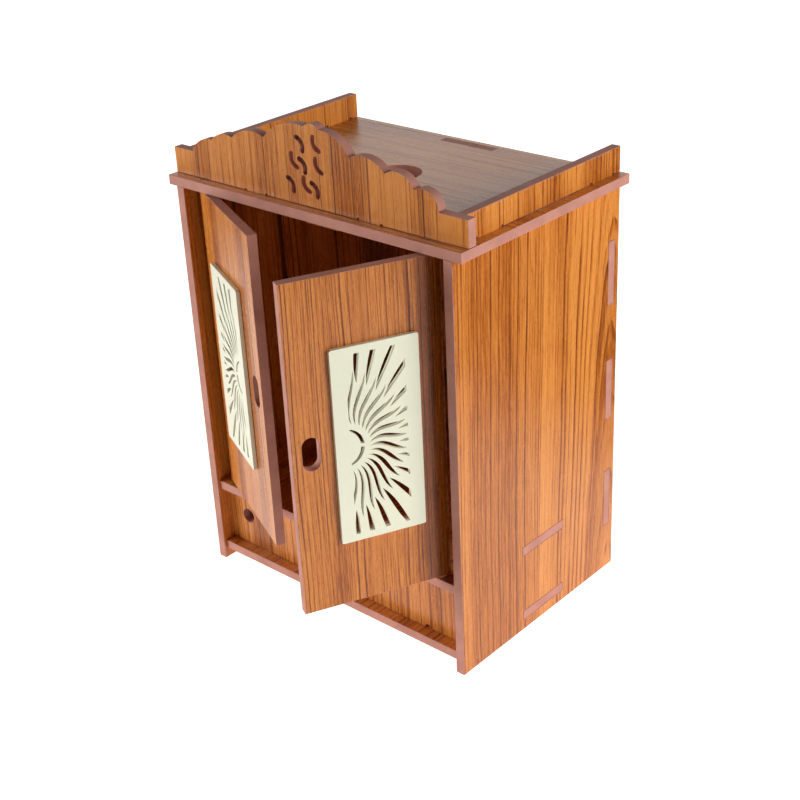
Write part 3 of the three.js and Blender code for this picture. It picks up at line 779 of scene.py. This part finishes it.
def floor_finish():
    material, tree, shader, position = new_material("Studio floor")
    clouds = noise(tree, position, scale=3, detail=2)
    pale = colours().floor
    shaded = tuple(c * 0.985 for c in pale)
    feed(tree, shader.inputs["Base Color"], blend(tree, clouds, rgba(pale), rgba(shaded)))
    shader.inputs["Roughness"].default_value = 0.8
    shader.inputs["Specular IOR Level"].default_value = 0.1
    seen = tree.nodes.new("ShaderNodeLightPath").outputs["Is Camera Ray"]
    x, y, _ = separate(tree, position)
    x = maths(tree, "MULTIPLY", x, POOL_SQUEEZE)
    y = maths(tree, "SUBTRACT", y, POOL_Y)
    square = maths(tree, "ADD", maths(tree, "MULTIPLY", x, x), maths(tree, "MULTIPLY", y, y))
    away = maths(tree, "SQRT", square)
    given = spread(tree, away, POOL_FADE * POOL_RADIUS, POOL_RADIUS, studio().glow, 0.0)
    grey = blend(tree, seen, combine(tree, given, given, given), rgba((studio().seen_glow,) * 3))
    feed(tree, shader.inputs["Emission Color"], grey)
    shader.inputs["Emission Strength"].default_value = 1.0
    return material


def add_floor(name, middle_y, radius, squeeze, height, shiny):
    """A round or oval pale floor; one that isn't shiny is left out of what the cabinet mirrors."""
    bm = bmesh.new()
    oval = Matrix.Translation((0, middle_y, height)) @ Matrix.Diagonal((1 / squeeze, 1, 1, 1))
    bmesh.ops.create_circle(bm, cap_ends=True, radius=radius, segments=DISC_SIDES, matrix=oval)
    mesh = bpy.data.meshes.new(name)
    bm.to_mesh(mesh)
    bm.free()
    mesh.materials.append(bpy.data.materials.get("Studio floor") or floor_finish())
    floor = bpy.data.objects.new(name, mesh)
    floor.visible_glossy = shiny
    bpy.context.collection.objects.link(floor)


def add_surroundings(setting):
    """White where the camera looks past the floor, and dim for the light that falls on the cabinet."""
    world = bpy.data.worlds.new("Pale surroundings")
    world.use_nodes = True
    tree = world.node_tree
    tree.nodes.clear()
    seen = tree.nodes.new("ShaderNodeLightPath").outputs["Is Camera Ray"]
    background = tree.nodes.new("ShaderNodeBackground")
    feed(tree, background.inputs["Strength"], spread(tree, seen, 0.0, 1.0, setting.sky, 1.0, smooth=False))
    background.inputs["Color"].default_value = (1, 1, 1, 1)
    output = tree.nodes.new("ShaderNodeOutputWorld")
    tree.links.new(background.outputs[0], output.inputs["Surface"])
    bpy.context.scene.world = world


class CABINET_OT_studio(bpy.types.Operator):
    """Adds the pale floor, the soft lights, the surroundings and the camera"""

    bl_idname = "cabinet.studio"
    bl_label = "Studio"

    def execute(self, context):
        setting = studio()
        add_camera(setting)
        add_floor("studio_floor", 0, FLOOR_RADIUS, 1, FLOOR_DROP, shiny=False)
        add_floor("light_pool", POOL_Y, POOL_RADIUS, POOL_SQUEEZE, 0, shiny=True)
        add_softbox("Key", KEY_PLACE, KEY_SIZE, setting.key)
        add_softbox("Fill", FILL_PLACE, FILL_SIZE, setting.fill)
        add_softbox("Screen", SCREEN_PLACE, SCREEN_SIZE, setting.screen)
        add_surroundings(setting)
        bpy.context.scene.view_settings.view_transform = "Standard"
        return {"FINISHED"}


class CABINET_PT_panel(bpy.types.Panel):
    """Lists the settings and the steps that build the cabinet"""

    bl_idname = "CABINET_PT_panel"
    bl_label = "Altar Cabinet"
    bl_space_type = "VIEW_3D"
    bl_region_type = "UI"
    bl_category = "Cabinet"

    def draw(self, context):
        for settings in (boards(), colours(), studio()):
            box = self.layout.box()
            for name in settings.__annotations__:
                box.prop(settings, name)
        for step in STEPS:
            self.layout.operator(step.bl_idname)


STEPS = (CABINET_OT_studio, CABINET_OT_sides, CABINET_OT_back, CABINET_OT_floors, CABINET_OT_lower_front,
         CABINET_OT_top, CABINET_OT_rails, CABINET_OT_crest, CABINET_OT_doors, CABINET_OT_sun_plates)
SETTINGS = {"cabinet_boards": CabinetBoards, "cabinet_colours": CabinetColours,
            "cabinet_studio": CabinetStudio}


def register():
    for cls in (*SETTINGS.values(), *STEPS, CABINET_PT_panel):
        bpy.utils.register_class(cls)
    for name, cls in SETTINGS.items():
        setattr(bpy.types.Scene, name, PointerProperty(type=cls))


def unregister():
    for name in SETTINGS:
        delattr(bpy.types.Scene, name)
    for cls in reversed((*SETTINGS.values(), *STEPS, CABINET_PT_panel)):
        bpy.utils.unregister_class(cls)


def main():
    register()
    for step in STEPS:
        family, action = step.bl_idname.split(".")
        getattr(getattr(bpy.ops, family), action)()


if __name__ == "__main__":
    main()
